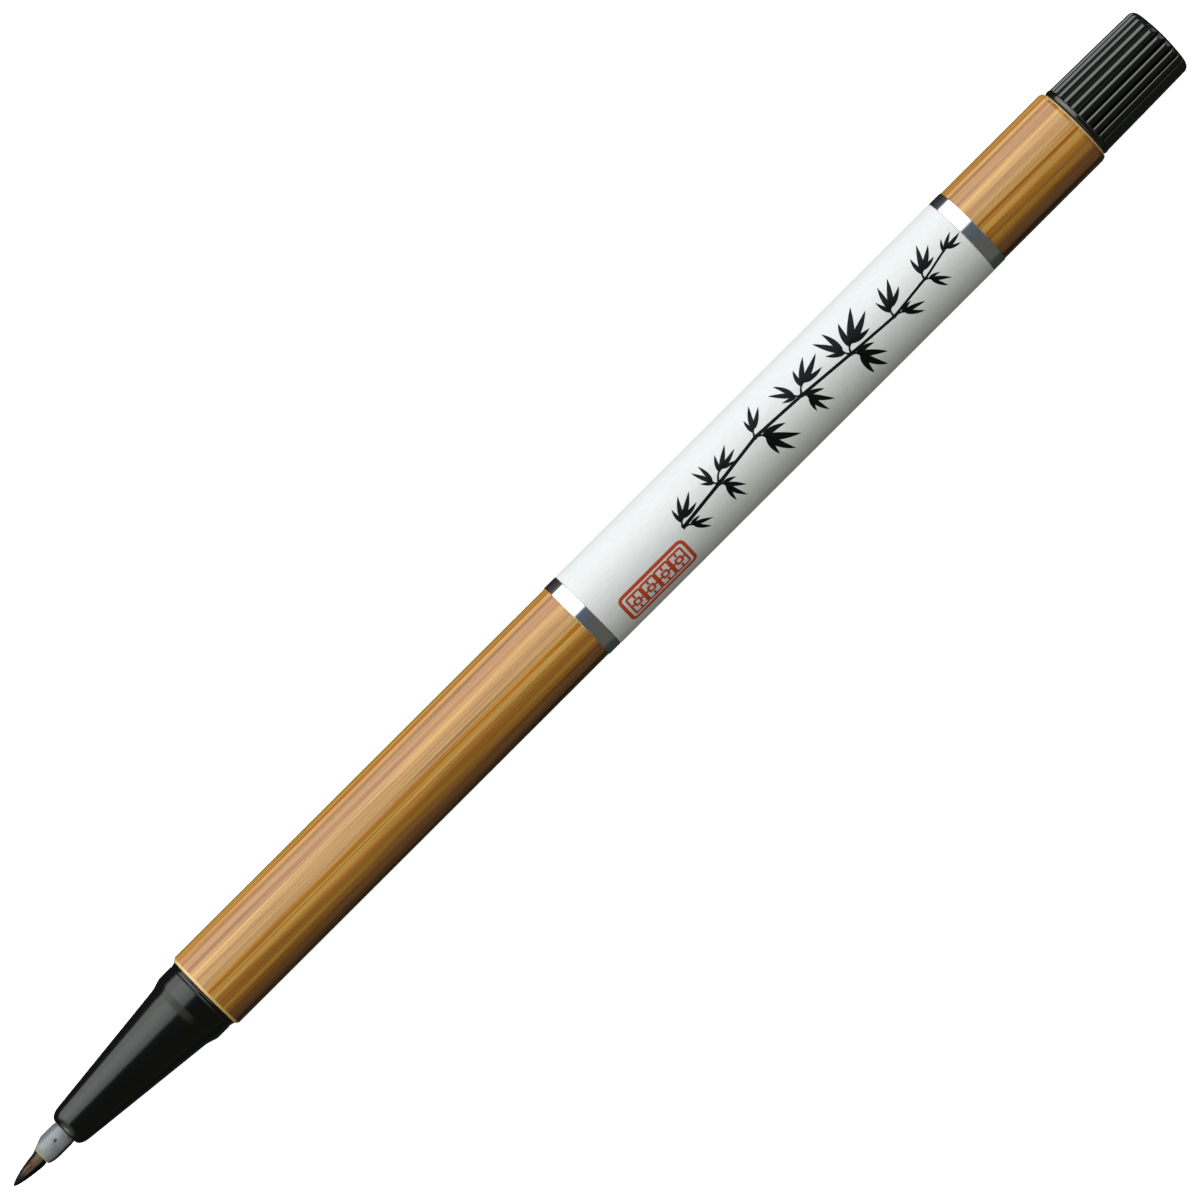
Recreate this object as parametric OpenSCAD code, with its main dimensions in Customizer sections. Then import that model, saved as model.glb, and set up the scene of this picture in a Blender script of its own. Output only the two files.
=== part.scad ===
// Brush pen with a bamboo-patterned barrel, uncapped, lying on its side.
// The pen runs along X with its writing tip towards -X.
// Every station named "x_..." is measured from the point of the nib.

/* [Barrel] */
// Diameter of the finished barrel, over its film
barrel_d = 10; // [9.6:0.1:10.6]
// Length of the barrel tube
barrel_len = 134.1; // [125:0.1:145]
// Inside diameter of the barrel tube at its two ends
tube_bore_d = 7.6; // [7.4:0.1:7.8]
// Thickness of the bamboo-patterned film
film_t = 0.06; // [0.04:0.01:0.1]
// Number of ribs inside the tube that centre the reservoir
tube_ribs = 6; // [4:1:8]
// Height of those ribs
tube_rib_h = 0.15; // [0.1:0.01:0.2]

/* [Bands and label] */
// From the tube's front face to the front band
band_offset = 57.3; // [50:0.1:62]
// Width of each silver band
band_w = 1.7; // [1:0.1:2.5]
// Thickness of each silver band
band_t = 0.08; // [0.06:0.01:0.12]
// Length of the paper label between the bands
label_len = 57.6; // [50:0.1:62]
// Thickness of the label
label_t = 0.12; // [0.08:0.01:0.16]
// Angle round the barrel that the label covers
label_angle = 355; // [340:1:358]
// Where its seam lies, in degrees round from the underside
seam_side = 35; // [10:5:80]
// Gap between the label and each band
label_gap = 0.05; // [0.02:0.01:0.1]

/* [Grip section] */
// Length of the grip from its mouth to the barrel
grip_len = 21.45; // [20:0.05:24]
// Diameter just behind the rounded mouth
grip_front_d = 4.87; // [4.7:0.01:5.1]
// Diameter of the mouth's front edge
grip_edge_d = 3.2; // [3.1:0.05:3.6]
// Length of the mouth's rounding
grip_round_len = 1.6; // [1:0.1:2]
// Diameter at the thick end of the cone
grip_rear_d = 8.3; // [8:0.02:8.6]
// Diameter of the collar that the cap slides on to
collar_d = 9.12; // [9:0.02:9.2]
// Length of that collar
collar_len = 1.8; // [1.5:0.1:2.2]
// Length of the spigot inside the barrel
grip_spigot_len = 11; // [9:0.5:13]

/* [Nib] */
// Length of fibre that stands out of the holder
nib_out = 4.4; // [4:0.1:5]
// Diameter of the fibre nib
nib_d = 1.9; // [1.7:0.05:2]
// Length of holder that stands out of the grip
holder_out = 3.75; // [3.4:0.05:4.2]
// Diameter of the holder's stem inside the grip
holder_stem_d = 2.88; // [2.8:0.02:3]
// Largest diameter of the holder
holder_bulb_d = 3.02; // [3:0.01:3.2]
// Diameter of the vent in the holder's side
vent_d = 0.36; // [0.3:0.02:0.5]

/* [Ink system] */
// Diameter of the relay wick
wick_d = 2.4; // [2.2:0.1:2.6]
// Length of the relay wick
wick_len = 33; // [31:0.5:35]
// Diameter of the fibre reservoir
reservoir_d = 7; // [6.8:0.05:7.05]
// Length of the fibre reservoir
reservoir_len = 109; // [95:0.5:109]
// Thickness of the film round the reservoir
wrap_t = 0.1; // [0.05:0.01:0.12]

/* [Tail plug] */
// Length of the plug outside the barrel
tail_len = 13.7; // [12:0.1:16]
// Diameter of its neck, next to the barrel
tail_neck_d = 9.28; // [9.1:0.02:9.4]
// Diameter over the ribs where they start
tail_front_d = 9.2; // [9:0.02:9.3]
// Diameter over the ribs at the free end
tail_rear_d = 8.84; // [8.6:0.02:9]
// Number of ribs
tail_ribs = 23; // [20:1:28]
// Radius of each rib's round back
tail_rib_r = 0.6; // [0.56:0.01:0.7]
// Depth of the valleys between the ribs
tail_rib_h = 0.3; // [0.2:0.01:0.34]
// Length of the spigot inside the barrel
tail_spigot_len = 10; // [9:0.5:12]

/* [Hidden] */
$fn = 96;

// Clearances
seat_gap = 0.02;       // between faces that pull apart
push_fit = 0.06;       // radial, spigot in tube
bead_fit = 0.02;       // radial, retaining bead in tube
stem_fit = 0.04;       // radial, holder stem in grip, and wick in reservoir
over = 1;              // how far a cutter runs past what it cuts

// Stations from the nib's point
x_holder = nib_out;
x_mouth = x_holder + holder_out;
x_barrel = x_mouth + grip_len;
x_tail = x_barrel + barrel_len;
pen_len = x_tail + tail_len;
x_seat = x_mouth + 5.85;             // where the holder's stem ends inside the grip
x_band = x_barrel + band_offset;
x_label = x_band + band_w + label_gap;
x_rear_band = x_label + label_len + label_gap;
x_reservoir = x_barrel + grip_spigot_len + 0.4;
axis_h = barrel_d / 2 + label_t;     // height of the pen's axis above what it lies on

// Radii that several parts share
film_r = barrel_d / 2;
tube_r = film_r - film_t;
bore_r = tube_bore_d / 2;
spigot_r = bore_r - push_fit;
bead_r = bore_r - bead_fit;
nib_r = nib_d / 2;
stem_r = holder_stem_d / 2;
wick_r = wick_d / 2;
flange_r = tube_r - 0.28;            // the smooth flanges that meet the tube's bevelled ends
spigot_bore_r = 2.75;
rib_turn = 2.2;                      // degrees from the top to the nearest rib

// Tube ends
bevel_r = 0.24;
bevel_front = 0.33;
bevel_rear = 0.5;

// Points of a round edge, [radius, station], from angle a0 to a1 about a centre
function arc(centre, r, a0, a1, steps = 6) =
    [for (i = [0:steps]) let (a = a0 + (a1 - a0) * i / steps) centre + r * [cos(a), sin(a)]];

// Nib outline: an ogive blended with a cone, from the point back to the holder
function nib_point(steps = 12) =
    [for (i = [0:steps])
        let (a = 90 * i / steps, x = 1 - cos(a))
        [nib_r * (0.68 * pow(sin(a), 1.2) + 0.32 * x), nib_out * x]];

// Turns a closed outline of [radius, station] points into a solid along X
module turned(outline, angle = 360) {
    translate([-pen_len / 2, 0, axis_h])
        rotate([0, 90, 0])
            rotate_extrude(angle = angle)
                polygon(outline);
}

// A tube along X between two stations
module sleeve(r_in, r_out, x0, x1, angle = 360) {
    turned([[r_in, x0], [r_out, x0], [r_out, x1], [r_in, x1]], angle);
}

// A plain rod along X between two stations
module rod(r, x0, x1) {
    turned([[0, x0], [r, x0], [r, x1], [0, x1]]);
}

// Radial plates through the pen's axis, one per rib pair
module plates(count, width, r, x0, x1) {
    translate([x0 - pen_len / 2, 0, axis_h])
        for (i = [0:count - 1])
            rotate([180 * i / count, 0, 0])
                translate([0, -width / 2, -r])
                    cube([x1 - x0, width, 2 * r]);
}

// A retaining bead on a spigot, with sloping sides
function bead(x) = [[spigot_r, x - 0.6], [bead_r, x - 0.3], [bead_r, x + 0.3], [spigot_r, x + 0.6]];

module nib() {
    color([0.16, 0.1, 0.07])
        turned(concat(nib_point(), [[nib_r, x_seat], [0, x_seat]]));
}

module nib_holder() {
    nose_r = nib_r + 0.1;
    nose_len = 1.5;
    bulb_r = holder_bulb_d / 2;
    nose = [for (i = [0:6]) let (a = 15 * i)
        [nose_r + (bulb_r - nose_r) * sin(a), x_holder + nose_len * (1 - cos(a))]];
    color([0.64, 0.66, 0.68])
        difference() {
            turned(concat(
                [[nib_r, x_holder]], nose,
                [[bulb_r - 0.01, x_holder + 2.1], [stem_r, x_mouth], [stem_r, x_seat - seat_gap],
                 [nib_r, x_seat - seat_gap]]));
            // bevel along one side of the nose
            translate([x_holder - pen_len / 2, 0.93, axis_h])
                rotate([0, 0, 22])
                    translate([-over, 0, -2])
                        cube([4, 2, 4]);
            // vent in the upper side
            translate([x_holder + 2.35 - pen_len / 2, -0.1, axis_h])
                cylinder(d = vent_d, h = 2);
            // air grooves along the stem
            for (a = [90, 210, 330])
                translate([x_mouth - 0.2 - pen_len / 2, 0, axis_h])
                    rotate([a, 0, 0])
                        translate([0, -0.15, stem_r - 0.14])
                            cube([x_seat, 0.3, over]);
        }
}

module relay_wick() {
    x0 = x_seat + seat_gap;
    x1 = x0 + wick_len;
    color([0.3, 0.29, 0.28])
        turned([[0, x0], [wick_r, x0], [wick_r, x1 - 0.6], [wick_r - 0.5, x1], [0, x1]]);
}

module grip_section() {
    edge_r = grip_edge_d / 2;
    rear_r = grip_rear_d / 2;
    collar_r = collar_d / 2;
    mouth_r = stem_r + stem_fit;
    round_end = 79;                  // degrees of an ellipse, where it runs into the cone
    round_h = (grip_front_d / 2 - edge_r) / sin(round_end);
    x_flange = x_barrel - 0.7;
    x_collar = x_flange - collar_len;
    x_cone = x_collar - 1.3;
    x_end = x_barrel + grip_spigot_len;
    throat_r = wick_r + stem_fit;
    x_chamber = x_seat + 1.5;
    color([0.03, 0.03, 0.032]) {
        difference() {
            turned(concat(
                [[0, x_mouth]],
                [for (i = [0:8])
                    let (a = round_end * i / 8)
                    [edge_r + round_h * sin(a), x_mouth + grip_round_len * (1 - cos(a))]],
                [[rear_r, x_cone], [collar_r, x_collar],
                 [collar_r, x_flange], [collar_r - 0.08, x_flange + 0.09],
                 [collar_r - 0.01, x_flange + 0.19], [collar_r, x_barrel - 0.34],
                 [flange_r + 0.02, x_barrel - seat_gap], [spigot_r, x_barrel - seat_gap]],
                bead(x_barrel + 2.6), bead(x_barrel + 7.8),
                [[spigot_r, x_end - 0.5], [spigot_r - 0.3, x_end], [0, x_end]]));
            // stepped bore: mouth, holder seat, throat and ink chamber
            turned([[0, x_mouth - over], [mouth_r + 0.08, x_mouth - over],
                    [mouth_r + 0.08, x_mouth], [mouth_r, x_mouth + 0.15], [mouth_r, x_seat],
                    [throat_r, x_seat], [throat_r, x_chamber], [2.1, x_chamber],
                    [spigot_bore_r, x_chamber + 7], [spigot_bore_r, x_end + over],
                    [0, x_end + over]]);
        }
        // ribs that hold the relay wick on the axis
        difference() {
            intersection() {
                plates(2, 0.7, 4, x_chamber + 1.5, x_end - 1.5);
                turned([[0, x_chamber], [2.2, x_chamber], [spigot_bore_r + 0.1, x_chamber + 7],
                        [spigot_bore_r + 0.1, x_end], [0, x_end]]);
            }
            rod(throat_r, x_chamber, x_end);
        }
    }
}

module barrel_tube() {
    x0 = x_barrel;
    x1 = x_tail;
    color([0.9, 0.72, 0.4]) {
        turned([[bore_r, x0], [tube_r - bevel_r, x0], [tube_r, x0 + bevel_front],
                [tube_r, x1 - bevel_rear], [tube_r - bevel_r, x1], [bore_r, x1]]);
        // ribs that centre the reservoir and leave air space round it
        intersection() {
            plates(tube_ribs / 2, 0.6, bore_r + 0.1, x_reservoir + 1, x_reservoir + 100);
            sleeve(bore_r - tube_rib_h, bore_r + 0.1, x_reservoir, x_reservoir + 101);
        }
    }
}

module bamboo_film() {
    color([0.78, 0.58, 0.34])
        sleeve(tube_r, film_r, x_barrel + bevel_front, x_tail - bevel_rear);
}

module front_band() {
    color([0.8, 0.81, 0.83])
        sleeve(film_r, film_r + band_t, x_band, x_band + band_w);
}

module paper_label() {
    color([0.93, 0.94, 0.92])
        translate([0, 0, axis_h])
            rotate([seam_side + (360 - label_angle) / 2, 0, 0])
                translate([0, 0, -axis_h])
                    sleeve(film_r, film_r + label_t, x_label, x_label + label_len, label_angle);
}

module rear_band() {
    color([0.8, 0.81, 0.83])
        sleeve(film_r, film_r + band_t, x_rear_band, x_rear_band + band_w);
}

module ink_reservoir() {
    well_r = wick_r + stem_fit;
    well_end = x_seat + seat_gap + wick_len + 0.5;
    color([0.22, 0.21, 0.22])
        turned([[well_r, x_reservoir], [reservoir_d / 2, x_reservoir],
                [reservoir_d / 2, x_reservoir + reservoir_len], [0, x_reservoir + reservoir_len],
                [0, well_end], [well_r, well_end]]);
}

module reservoir_wrap() {
    color([0.75, 0.78, 0.82, 0.6])
        sleeve(reservoir_d / 2, reservoir_d / 2 + wrap_t, x_reservoir, x_reservoir + reservoir_len);
}

module tail_plug() {
    neck_r = tail_neck_d / 2;
    front_r = tail_front_d / 2;
    rear_r = tail_rear_d / 2;
    edge_r = 0.85;
    dome = 0.2;
    x_neck_end = x_tail + 0.8;
    x_spigot = x_tail - tail_spigot_len;
    x_prongs = x_reservoir + reservoir_len + 0.1;
    draft = atan((front_r - rear_r) / (pen_len - x_neck_end));
    color([0.03, 0.03, 0.032]) {
        difference() {
            union() {
                // spigot and neck
                turned(concat(
                    [[0, x_spigot], [spigot_r - 0.3, x_spigot], [spigot_r, x_spigot + 0.5]],
                    bead(x_spigot + 2.6), bead(x_spigot + 7),
                    [[spigot_r, x_tail + seat_gap], [neck_r - 0.16, x_tail + seat_gap],
                     [neck_r, x_tail + 0.3], [neck_r, x_neck_end - 0.12],
                     [neck_r - 0.14, x_neck_end], [0, x_neck_end]]));
                // ribs with round backs, over a rounded end
                intersection() {
                    turned(concat(
                        [[0, x_neck_end - 0.5], [front_r, x_neck_end - 0.5], [front_r, x_neck_end]],
                        arc([rear_r - edge_r, pen_len - dome - edge_r], edge_r, 0, 80),
                        [[0, pen_len]]));
                    union() {
                        turned([[0, x_neck_end - 0.5], [front_r - tail_rib_h, x_neck_end - 0.5],
                                [rear_r - tail_rib_h, pen_len + over], [0, pen_len + over]]);
                        for (i = [0:tail_ribs - 1])
                            translate([x_neck_end - 0.5 - pen_len / 2, 0, axis_h])
                                rotate([360 * i / tail_ribs - rib_turn, 0, 0])
                                    translate([0, 0, front_r - tail_rib_r])
                                        rotate([0, 90 + draft, 0])
                                            cylinder(r = tail_rib_r, h = tail_len + over);
                    }
                }
            }
            // hollow, as moulded
            rod(spigot_bore_r, x_spigot - over, x_tail + 8);
        }
        // crossed prongs that hold the reservoir forward
        intersection() {
            plates(2, 0.9, 4, x_prongs, x_tail + 6);
            rod(spigot_bore_r + 0.1, x_prongs, x_tail + 6);
        }
    }
}

nib();
nib_holder();
relay_wick();
grip_section();
barrel_tube();
bamboo_film();
front_band();
paper_label();
rear_band();
ink_reservoir();
reservoir_wrap();
tail_plug();
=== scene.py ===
"""Looks for an uncapped brush pen with a bamboo-patterned barrel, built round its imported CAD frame.

Sizes are in millimetres and turned into metres by place() and on_label(). A "station" is a distance
along the pen from the nib's point. Angles round the pen start at its top and grow towards +Y.
"""
import math

import bmesh
import bpy
from mathutils import Matrix, Vector


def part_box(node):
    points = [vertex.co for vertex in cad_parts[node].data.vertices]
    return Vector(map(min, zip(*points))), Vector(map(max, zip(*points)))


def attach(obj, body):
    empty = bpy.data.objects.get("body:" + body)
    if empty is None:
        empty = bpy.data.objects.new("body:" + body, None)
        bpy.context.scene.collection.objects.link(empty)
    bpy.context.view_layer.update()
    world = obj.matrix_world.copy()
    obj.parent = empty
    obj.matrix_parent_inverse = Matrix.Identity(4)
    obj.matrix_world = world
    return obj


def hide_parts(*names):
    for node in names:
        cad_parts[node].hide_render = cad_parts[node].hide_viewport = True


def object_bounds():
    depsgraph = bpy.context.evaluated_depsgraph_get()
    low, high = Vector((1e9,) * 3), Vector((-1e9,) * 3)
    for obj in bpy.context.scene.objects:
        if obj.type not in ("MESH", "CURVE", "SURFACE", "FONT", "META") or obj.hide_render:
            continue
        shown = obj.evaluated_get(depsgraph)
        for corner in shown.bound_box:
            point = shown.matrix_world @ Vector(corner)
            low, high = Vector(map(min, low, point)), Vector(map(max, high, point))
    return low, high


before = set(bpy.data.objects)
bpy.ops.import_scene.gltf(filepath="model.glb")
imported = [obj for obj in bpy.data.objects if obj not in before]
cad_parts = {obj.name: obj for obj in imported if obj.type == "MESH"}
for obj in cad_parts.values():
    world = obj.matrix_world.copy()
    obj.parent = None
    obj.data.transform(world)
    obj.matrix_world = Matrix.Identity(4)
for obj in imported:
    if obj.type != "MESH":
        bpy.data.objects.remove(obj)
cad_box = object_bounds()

MM = 0.001
TURN = 2 * math.pi
TIP_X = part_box("nib")[0].x
AXIS_Z = (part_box("bamboo_film")[0].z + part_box("bamboo_film")[1].z) / 2


def stations(node):
    """Front and rear station of a CAD node."""
    low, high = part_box(node)
    return (low.x - TIP_X) / MM, (high.x - TIP_X) / MM


# Stations, from the frame
X_HOLDER = stations("nib_holder")[0]
X_SEAT = stations("nib")[1]
X_MOUTH, X_GRIP_END = stations("grip_section")
X_BARREL, X_TAIL = stations("barrel_tube")
X_FILM, X_FILM_END = stations("bamboo_film")
X_LABEL, X_LABEL_END = stations("paper_label")
X_PLUG, X_END = stations("tail_plug")

# Radii of the CAD parts
NIB_R = 0.95
STEM_R = 1.44
BULB_R = 1.51
GRIP_BORE_R = 1.48
WICK_BORE_R = 1.24
TUBE_BORE_R = 3.8
SPIGOT_R = 3.74
BEAD_R = 3.78
FLANGE_R = 4.66
TUBE_R = 4.94
FILM_R = 5.0
BAND_R = 5.08
LABEL_R = 5.1


# ------------------------------------------------------------------ mesh helpers

def place(station, radius, angle):
    """A point at a station, radius and angle round the pen's axis, in metres."""
    return Vector((TIP_X + station * MM, radius * math.sin(angle) * MM,
                   AXIS_Z + radius * math.cos(angle) * MM))


def rounded(points, closed=True, steps=4, hold=0.04):
    """An outline with its corners rounded. Each point is (station, radius) or (station, radius, rounding)."""
    out = []
    for i, point in enumerate(points):
        here = Vector(point[:2])
        inner = closed or 0 < i < len(points) - 1
        if len(point) < 3 or not inner:
            out.append(here)
            continue
        sides = [Vector(points[i - 1][:2]) - here, Vector(points[(i + 1) % len(points)][:2]) - here]
        cut = [here + side.normalized() * min(point[2], side.length * 0.45) for side in sides]
        held = [here + side.normalized() * min(point[2] + hold, side.length * 0.49) for side in sides]
        out.append(held[0])
        for k in range(steps + 1):
            t = k / steps
            out.append(cut[0] * (1 - t) ** 2 + here * 2 * t * (1 - t) + cut[1] * t ** 2)
        out.append(held[1])
    return out


def arc(centre, radius, start, end, steps):
    """Points of an arc in the station-radius plane, with angles in degrees from the +station direction."""
    turns = [math.radians(start + (end - start) * i / steps) for i in range(steps + 1)]
    return [(centre[0] + radius * math.cos(a), centre[1] + radius * math.sin(a)) for a in turns]


def piece(name, verts, faces, body, material, replaces=(), sharp=38):
    """A finished piece that rides on a body, shaded smooth except over edges sharper than an angle."""
    mesh = bpy.data.meshes.new(name)
    mesh.from_pydata(verts, [], faces)
    bm = bmesh.new()
    bm.from_mesh(mesh)
    bmesh.ops.recalc_face_normals(bm, faces=bm.faces)
    bm.to_mesh(mesh)
    bm.free()
    mesh.shade_smooth()
    mesh.set_sharp_from_angle(angle=math.radians(sharp))
    mesh.materials.append(material)
    made = bpy.data.objects.new(name, mesh)
    bpy.context.scene.collection.objects.link(made)
    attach(made, body)
    if replaces:
        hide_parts(*replaces)
    return made


def full_turn(count):
    """Evenly spaced angles for a whole turn."""
    return [TURN * i / count for i in range(count)]


def turned(outline, angles, closed=True, wrap=True, shape=None):
    """Vertices and faces of an outline turned about the pen's axis.

    shape(station, radius, angle) may give a point another radius. An open outline starts and ends
    on the axis. Without wrap the turn stops at its last angle and gets two end faces.
    """
    verts, rows = [], []
    for station, radius in outline:
        row = []
        for angle in angles if radius > 1e-6 else angles[:1]:
            row.append(len(verts))
            verts.append(place(station, shape(station, radius, angle) if shape else radius, angle))
        rows.append(row)
    faces = []
    pairs = list(zip(rows, rows[1:]))
    if closed:
        pairs.append((rows[-1], rows[0]))
    for near, far in pairs:
        for i in range(len(angles) if wrap else len(angles) - 1):
            j = (i + 1) % len(angles)
            corners = [near[i % len(near)], near[j % len(near)], far[j % len(far)], far[i % len(far)]]
            corners = list(dict.fromkeys(corners))
            if len(corners) > 2:
                faces.append(corners)
    if not wrap:
        faces += [[row[0] for row in rows], [row[-1] for row in rows]]
    return verts, faces


def prism(corners, x0, x1):
    """A bar along the pen from one station to another. corners are (y, z) about the axis."""
    verts, n = [], len(corners)
    for x in (x0, x1):
        verts += [Vector((TIP_X + x * MM, y * MM, AXIS_Z + z * MM)) for y, z in corners]
    faces = [list(range(n)), list(range(n, 2 * n))]
    faces += [[i, (i + 1) % n, n + (i + 1) % n, n + i] for i in range(n)]
    return verts, faces


def joined(*shells):
    """Several shells as one list of vertices and one of faces."""
    verts, faces = [], []
    for shell_verts, shell_faces in shells:
        faces += [[i + len(verts) for i in face] for face in shell_faces]
        verts += shell_verts
    return verts, faces


def smooth_min(a, b, blend):
    """The smaller of two numbers, with a rounded change from one to the other."""
    near = max(blend - abs(a - b), 0) / blend
    return min(a, b) - near * near * blend / 4


def bead(x):
    """A retaining bead on a spigot."""
    return [
        (x - 0.6, SPIGOT_R, 0.1), (x - 0.3, BEAD_R, 0.1),
        (x + 0.3, BEAD_R, 0.1), (x + 0.6, SPIGOT_R, 0.1),
    ]


# ------------------------------------------------------------------ material helpers

class Nodes:
    """A node tree being built, with short ways to add and join its nodes."""

    def __init__(self, tree):
        self.tree = tree

    def node(self, kind, **settings):
        made = self.tree.nodes.new("ShaderNode" + kind)
        for key, value in settings.items():
            setattr(made, key, value)
        return made

    def feed(self, socket, value):
        """Joins an output to an input, or sets the input to a number or colour."""
        if isinstance(value, bpy.types.NodeSocket):
            self.tree.links.new(value, socket)
        else:
            socket.default_value = value

    def math(self, operation, *values):
        made = self.node("Math", operation=operation)
        for socket, value in zip(made.inputs, values):
            self.feed(socket, value)
        return made.outputs[0]

    def place(self):
        """Position in the shared frame, in metres."""
        return self.node("TexCoord").outputs["Object"]

    def stretched(self, along, across):
        """Position with its own scale along the pen and across it, per metre."""
        made = self.node("Mapping")
        self.feed(made.inputs["Vector"], self.place())
        made.inputs["Scale"].default_value = (along, across, across)
        return made.outputs[0]

    def station(self):
        """Distance from the nib's point, in millimetres."""
        split = self.node("SeparateXYZ")
        self.feed(split.inputs[0], self.place())
        return self.math("DIVIDE", self.math("SUBTRACT", split.outputs["X"], TIP_X), MM)

    def across(self, flip=1):
        """Distance towards +Y and up from the pen's axis, in millimetres."""
        split = self.node("SeparateXYZ")
        self.feed(split.inputs[0], self.place())
        side = self.math("DIVIDE", split.outputs["Y"], flip * MM)
        return side, self.math("DIVIDE", self.math("SUBTRACT", split.outputs["Z"], AXIS_Z), flip * MM)

    def angle(self, flip=1):
        """Angle round the pen in degrees, from its top towards +Y.

        With flip -1 it is measured from the underside towards -Y.
        """
        return self.math("DEGREES", self.math("ARCTAN2", *self.across(flip)))

    def radius(self):
        """Distance from the pen's axis, in millimetres."""
        squares = [self.math("MULTIPLY", value, value) for value in self.across()]
        return self.math("SQRT", self.math("ADD", *squares))

    def noise(self, vector, scale=1.0, detail=3.0, roughness=0.5):
        made = self.node("TexNoise")
        self.feed(made.inputs["Vector"], vector)
        for name, value in (("Scale", scale), ("Detail", detail), ("Roughness", roughness)):
            made.inputs[name].default_value = value
        return made.outputs["Fac"]

    def span(self, value, low, high, to_low=0.0, to_high=1.0, smooth=False):
        """value moved from one range to another, and kept inside it."""
        made = self.node("MapRange", interpolation_type="SMOOTHSTEP" if smooth else "LINEAR")
        for socket, number in zip(made.inputs, (value, low, high, to_low, to_high)):
            self.feed(socket, number)
        return made.outputs["Result"]

    def ramp(self, value, stops):
        """A colour ramp. stops are (position, colour)."""
        made = self.node("ValToRGB")
        self.feed(made.inputs[0], value)
        elements = made.color_ramp.elements
        while len(elements) < len(stops):
            elements.new(0.5)
        for element, (position, colour) in zip(elements, stops):
            element.position = position
            element.color = (*colour, 1)
        return made.outputs["Color"]

    def mix(self, share, first, second, blend="MIX"):
        made = self.node("Mix", data_type="RGBA", blend_type=blend)
        self.feed(made.inputs["Factor"], share)
        for name, colour in (("A", first), ("B", second)):
            socket = next(s for s in made.inputs if s.name == name and s.type == "RGBA")
            self.feed(socket, (*colour, 1) if isinstance(colour, tuple) else colour)
        return next(s for s in made.outputs if s.type == "RGBA")

    def bump(self, height, depth, strength=1.0):
        """Fine relief of a depth in millimetres."""
        made = self.node("Bump")
        made.inputs["Strength"].default_value = strength
        made.inputs["Distance"].default_value = depth * MM
        self.feed(made.inputs["Height"], height)
        return made.outputs["Normal"]


class Shader(Nodes):
    """A material being built on its main surface node. values go on that node's sockets."""

    def __init__(self, name, **values):
        self.material = bpy.data.materials.new(name)
        self.material.use_nodes = True
        super().__init__(self.material.node_tree)
        self.bsdf = self.tree.nodes["Principled BSDF"]
        for socket, value in values.items():
            self.bsdf.inputs[socket.replace("_", " ")].default_value = value

    def finish(self, colour=None, roughness=None, normal=None):
        for name, value in (("Base Color", colour), ("Roughness", roughness), ("Normal", normal)):
            if value is not None:
                self.feed(self.bsdf.inputs[name], value)
        return self.material


# ------------------------------------------------------------------ materials

# The darkest tint below is used only as painted shade on the pen's -Y edge, and the ivory tint only in a
# painted highlight line.
PAINTED_SHADE_UMBER = (0.03, 0.012, 0.004)
BROWN = (0.26, 0.105, 0.03)
BARK = (0.36, 0.15, 0.03)
AMBER = (0.42, 0.175, 0.022)
OCHRE = (0.52, 0.21, 0.025)
WHEAT = (0.54, 0.255, 0.045)
TAN = (0.6, 0.3, 0.05)
HONEY = (0.7, 0.385, 0.085)
STRAW = (0.6, 0.33, 0.09)
SAND = (0.57, 0.34, 0.12)
ROSE = (0.49, 0.235, 0.07)
ORANGE = (0.42, 0.155, 0.015)
CREAM = (0.64, 0.35, 0.14)
RUST = (0.5, 0.18, 0.012)
PAINTED_HIGHLIGHT_IVORY = (0.74, 0.42, 0.18)

# The print on the upper half of the barrel: degrees from the top towards +Y, and the tint there. The
# near-black umber from -90 to -66 degrees is painted shade along the pen's -Y edge, and the cream and ivory
# from 53 to 58.5 degrees are a painted highlight line near its +Y edge.
PRINT_AND_PAINTED_LIGHT_TOP = [
    (-90, PAINTED_SHADE_UMBER), (-66, PAINTED_SHADE_UMBER), (-59, BROWN), (-45, BROWN), (-38, AMBER), (-32.5, TAN), (-29, AMBER),
    (-23, AMBER), (-19.5, OCHRE), (-14.5, HONEY), (-11, HONEY), (-7.6, HONEY), (-5.6, RUST), (-3.4, RUST),
    (-1.6, HONEY), (1.5, CREAM), (6, SAND), (12, WHEAT), (18, WHEAT), (23.5, HONEY), (27.5, HONEY),
    (32.5, ORANGE), (41, ROSE), (45.5, ROSE), (47.5, BARK), (50.9, BARK), (53, CREAM), (58.5, PAINTED_HIGHLIGHT_IVORY),
    (62, AMBER), (68, TAN), (78, TAN), (90, AMBER),
]

# The same for the lower half: degrees from the underside towards -Y. The umber at 90 degrees carries the
# painted shade of the -Y edge on from the upper half.
PRINT_AND_PAINTED_SHADE_UNDER = [
    (-90, AMBER), (-76, TAN), (-62, HONEY), (-55, ORANGE), (-44, ROSE), (-33, TAN), (-21, HONEY),
    (-13, AMBER), (-4, TAN), (9, STRAW), (16, ORANGE), (24, TAN), (37, ROSE), (48, AMBER), (58, TAN),
    (69, OCHRE), (79, BROWN), (90, PAINTED_SHADE_UMBER),
]


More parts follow.
